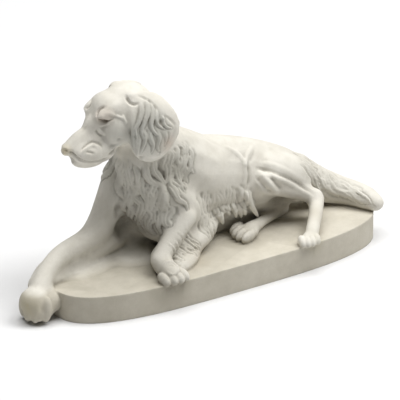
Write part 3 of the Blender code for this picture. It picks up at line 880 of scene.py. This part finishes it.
plaster.use_nodes = True
nodes = plaster.node_tree.nodes
links = plaster.node_tree.links
shader = nodes["Principled BSDF"]


def noise(scale, detail, roughness):
    """Cloudy noise over the casting; scale is in clouds to a metre."""
    cloud = nodes.new("ShaderNodeTexNoise")
    cloud.inputs["Scale"].default_value = scale
    cloud.inputs["Detail"].default_value = detail
    cloud.inputs["Roughness"].default_value = roughness
    links.new(where.outputs["Object"], cloud.inputs["Vector"])
    return cloud.outputs["Fac"]


def ramp(value, stops):
    """Colours or greys along a value, as (position, colour) stops."""
    band = nodes.new("ShaderNodeValToRGB")
    while len(band.color_ramp.elements) < len(stops):
        band.color_ramp.elements.new(0.5)
    for element, (position, colour) in zip(band.color_ramp.elements, stops):
        element.position = position
        element.color = (*colour, 1)
    links.new(value, band.inputs["Fac"])
    return band.outputs["Color"]


def tinted(below):
    """A node that multiplies the colour so far by a second one."""
    blend = nodes.new("ShaderNodeMix")
    blend.data_type = 'RGBA'
    blend.blend_type = 'MULTIPLY'
    links.new(below, blend.inputs["A"])
    return blend


def layered(share, below, layer):
    """The colour so far, multiplied by a share of a layer."""
    blend = tinted(below)
    blend.inputs["Factor"].default_value = share
    links.new(layer, blend.inputs["B"])
    return blend.outputs["Result"]


def attribute(name):
    """A mark that the skin keeps."""
    reader = nodes.new("ShaderNodeAttribute")
    reader.attribute_name = name
    return reader.outputs["Fac"]


where = nodes.new("ShaderNodeTexCoord")
height = nodes.new("ShaderNodeSeparateXYZ")
links.new(where.outputs["Object"], height.inputs["Vector"])
low = nodes.new("ShaderNodeMapRange")
low.inputs["From Min"].default_value = PLINTH_HEIGHT + PLINTH_TONE_FROM
low.inputs["From Max"].default_value = PLINTH_HEIGHT + PLINTH_TONE_TO
links.new(height.outputs["Z"], low.inputs["Value"])
cream = ramp(noise(CREAM_CLOUDS, 3, 0.5), [(0.35, CREAM[0]), (0.65, CREAM[1])])
dust = ramp(noise(DUST_CLOUDS, 6, 0.7), [(0.35, DUST), (0.6, WHITE)])
plinth_tone = ramp(low.outputs["Result"], [(0, PLINTH_TONE), (1, WHITE)])
# Painted shade greys the coat, and dirt with painted shade darkens the hollows.
painted_coat_shade = ramp(attribute("coat"), [(0.0, WHITE), (1.0, PAINTED_COAT_SHADE)])
grime_and_shade = ramp(attribute("hollow"), [(0.25, WHITE), (0.5, SHALLOW_DIRT_AND_SHADE), (0.78, DEEP_DIRT_AND_SHADE)])
colour = layered(DUST_SHARE, cream, dust)
for layer in (plinth_tone, painted_coat_shade, grime_and_shade):
    colour = layered(1.0, colour, layer)
# Speckles break up both the stains and the painted shade.
speckle = noise(SPECKLES_OF_STAINS_AND_SHADE, 4, 0.7)
# Each entry multiplies its tint into a speckled patch round its centre.
for centre, reach, tint in stains_and_shade:
    gap = nodes.new("ShaderNodeVectorMath")
    gap.operation = 'DISTANCE'
    links.new(where.outputs["Object"], gap.inputs[0])
    gap.inputs[1].default_value = dog_zero + Vector(centre) * UNIT
    patch = nodes.new("ShaderNodeMapRange")
    patch.inputs["From Min"].default_value = 0
    patch.inputs["From Max"].default_value = reach * UNIT
    patch.inputs["To Min"].default_value = 1
    patch.inputs["To Max"].default_value = 0
    links.new(gap.outputs["Value"], patch.inputs["Value"])
    broken = nodes.new("ShaderNodeMath")
    broken.operation = 'MULTIPLY'
    links.new(patch.outputs["Result"], broken.inputs[0])
    links.new(speckle, broken.inputs[1])
    stain_and_shade = tinted(colour)
    stain_and_shade.inputs["B"].default_value = (*tint, 1)
    links.new(broken.outputs["Value"], stain_and_shade.inputs["Factor"])
    colour = stain_and_shade.outputs["Result"]
links.new(colour, shader.inputs["Base Color"])
matt = ramp(noise(MATT_CLOUDS, 4, 0.6), [(0.3, SMOOTHEST), (0.7, ROUGHEST)])
links.new(matt, shader.inputs["Roughness"])
shader.inputs["Specular IOR Level"].default_value = SHINE
grain = nodes.new("ShaderNodeBump")
grain.inputs["Strength"].default_value = GRAIN_STRENGTH
grain.inputs["Distance"].default_value = GRAIN_DEPTH
links.new(noise(GRAINS, 6, 0.7), grain.inputs["Height"])
links.new(grain.outputs["Normal"], shader.inputs["Normal"])
casting.data.materials.append(plaster)
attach(casting, "root")
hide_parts("dog_on_plinth")


# The floor is a plain pale sheet. The light is a broad soft box high above, with a smaller one
# on the tail's side.
FLOOR_SIDE = 30                 # metres
FLOOR_GREY = 0.75
FLOOR_ROUGHNESS = 0.9
ROOM_LIGHT = 0.05

bpy.ops.mesh.primitive_plane_add(size=FLOOR_SIDE)
floor = bpy.context.object
floor.name = "floor"
paper = bpy.data.materials.new("pale_paper")
paper.use_nodes = True
sheet = paper.node_tree.nodes["Principled BSDF"]
sheet.inputs["Base Color"].default_value = (FLOOR_GREY, FLOOR_GREY, FLOOR_GREY, 1)
sheet.inputs["Roughness"].default_value = FLOOR_ROUGHNESS
floor.data.materials.append(paper)

room = bpy.data.worlds.new("room")
bpy.context.scene.world = room
room.use_nodes = True
room.node_tree.nodes["Background"].inputs["Color"].default_value = (1.0, 1.0, 1.0, 1)
room.node_tree.nodes["Background"].inputs["Strength"].default_value = ROOM_LIGHT
bpy.context.scene.view_settings.view_transform = 'Standard'


def soft_box(name, place, aim, width, power):
    """A square lamp; its place and width are in metres and its power in watts."""
    lamp = bpy.data.objects.new(name, bpy.data.lights.new(name, 'AREA'))
    bpy.context.scene.collection.objects.link(lamp)
    lamp.data.size = width
    lamp.data.energy = power
    lamp.location = place
    lamp.rotation_euler = (Vector(aim) - Vector(place)).to_track_quat('-Z', 'Y').to_euler()


soft_box("key", (0, 0.15, 4.1), (0, 0, 0.08), 3.8, 196)
soft_box("side", (2.0, -1.2, 3.3), (0, 0, 0.08), 2.0, 96)
